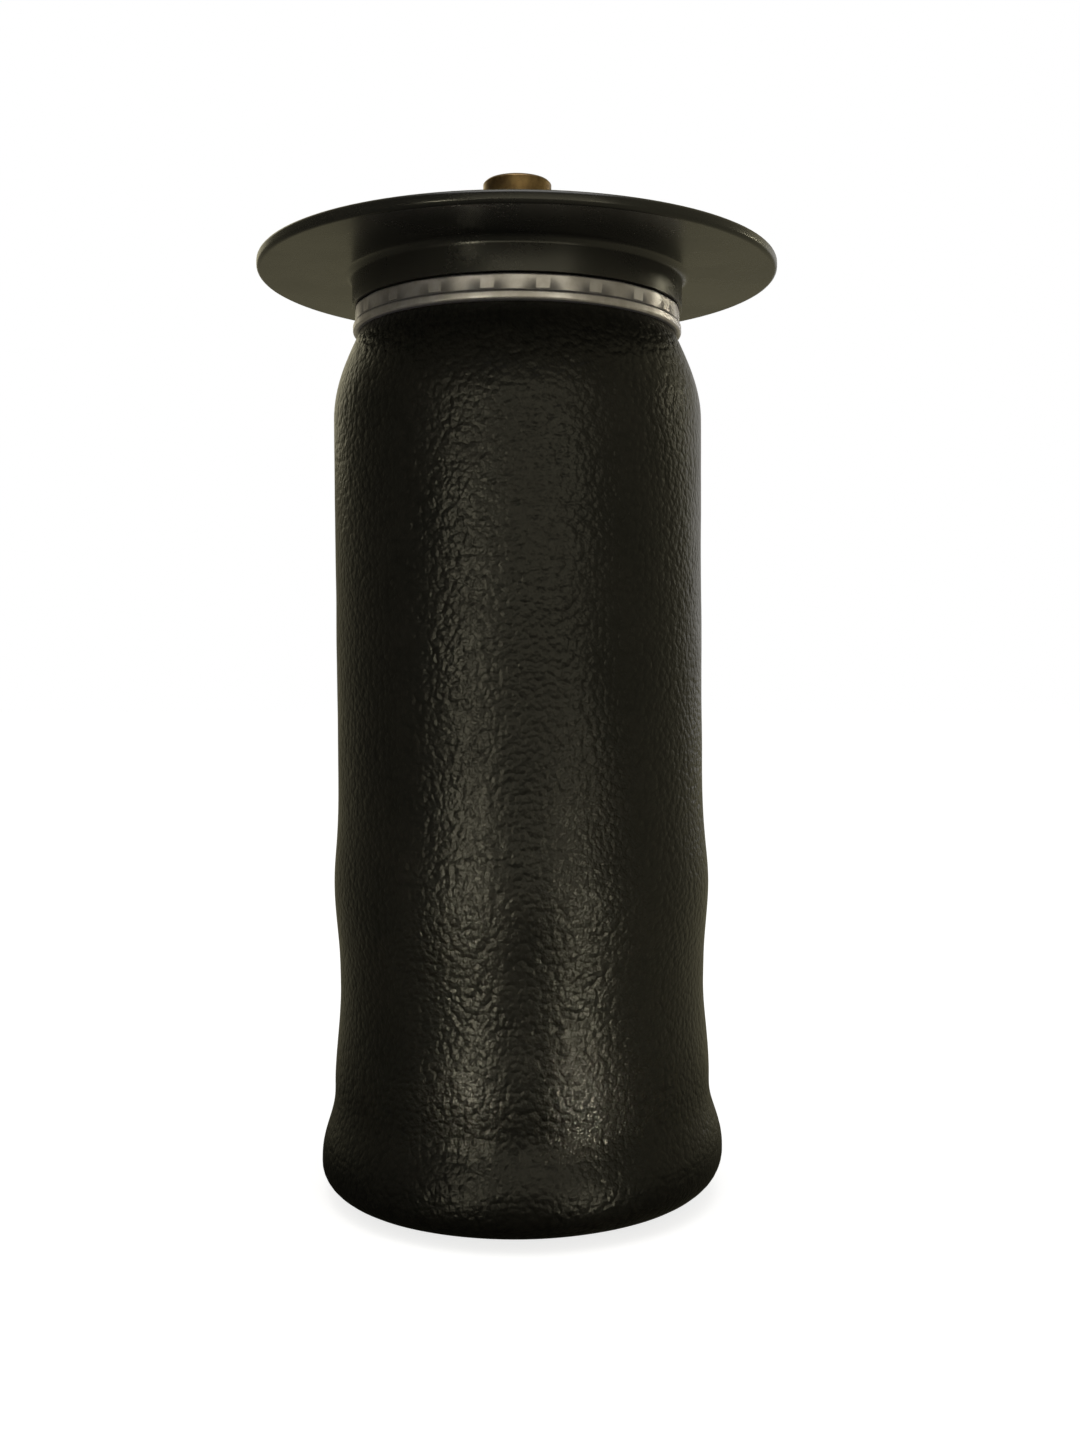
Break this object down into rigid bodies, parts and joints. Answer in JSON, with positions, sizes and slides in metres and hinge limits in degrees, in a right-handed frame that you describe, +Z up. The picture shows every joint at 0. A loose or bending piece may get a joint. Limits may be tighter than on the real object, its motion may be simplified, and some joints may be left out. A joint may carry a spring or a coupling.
{
  "type": "rolling lobe air spring",
  "caption": "Sleeve air spring: a round top plate with pegs and a push-in air port, a rubber sleeve crimped at both ends and rolled down over a hollow piston.",
  "frame": {"origin": "floor level under the piston's foot, on the spring's axis", "axes": "+Z up along the spring's axis, from the piston's foot to the top plate; +X towards one of the two locating pegs"},
  "size_m": [0.17, 0.17, 0.3351],
  "materials": {
    "sleeve_rubber": "satin black rubber with a fine leather grain",
    "plate_plastic": "smooth satin black moulding",
    "piston_plastic": "glass-filled black moulding",
    "crimp_steel": "bright swaged metal with jaw marks",
    "peg_steel": "turned stainless steel",
    "zinc_steel": "zinc-plated steel",
    "closure_aluminium": "die-cast aluminium",
    "fitting_brass": "dulled turned brass",
    "seal_rubber": "smooth black rubber",
    "collet_plastic": "smooth black moulding"
  },
  "bodies": {
    "piston_unit": {"piston": "piston_plastic", "end_closure": "closure_aluminium", "lower_crimp_ring": "crimp_steel", "foot_insert": "zinc_steel", "tie_bolt": "zinc_steel", "tie_bolt_seal": "seal_rubber", "tie_bolt_washer": "zinc_steel"},
    "top_unit": {"top_plate": "plate_plastic", "upper_crimp_ring": "crimp_steel", "locating_peg_left": "peg_steel", "locating_peg_right": "peg_steel", "fitting_body": "fitting_brass", "fitting_seal": "seal_rubber", "lock_nut": "fitting_brass", "lock_nut_washer": "zinc_steel", "tube_seal_lower": "seal_rubber", "tube_seal_upper": "seal_rubber", "seal_spacer": "fitting_brass", "guard_washer": "fitting_brass", "collet_guide": "fitting_brass"},
    "lobe": {"sleeve": "sleeve_rubber"},
    "collet_unit": {"collet": "collet_plastic"}
  },
  "joints": [
    {"name": "stroke", "type": "slide", "parent": "piston_unit", "child": "top_unit", "axis": [0, 0, 1], "range_m": [0, 0.14], "deforming": ["sleeve"]},
    {"name": "lobe_roll", "type": "slide", "parent": "top_unit", "child": "lobe", "axis": [0, 0, -1], "range_m": [0, 0.07], "deforming": ["sleeve"]},
    {"name": "collet_press", "type": "slide", "parent": "top_unit", "child": "collet_unit", "axis": [0, 0, -1], "range_m": [0, 0.0012], "stiffness_N_per_m": 2000, "springref_m": -0.0005}
  ],
  "couplings": [
    {"joint": "lobe_roll", "follows": "stroke", "ratio": 0.5}
  ]
}
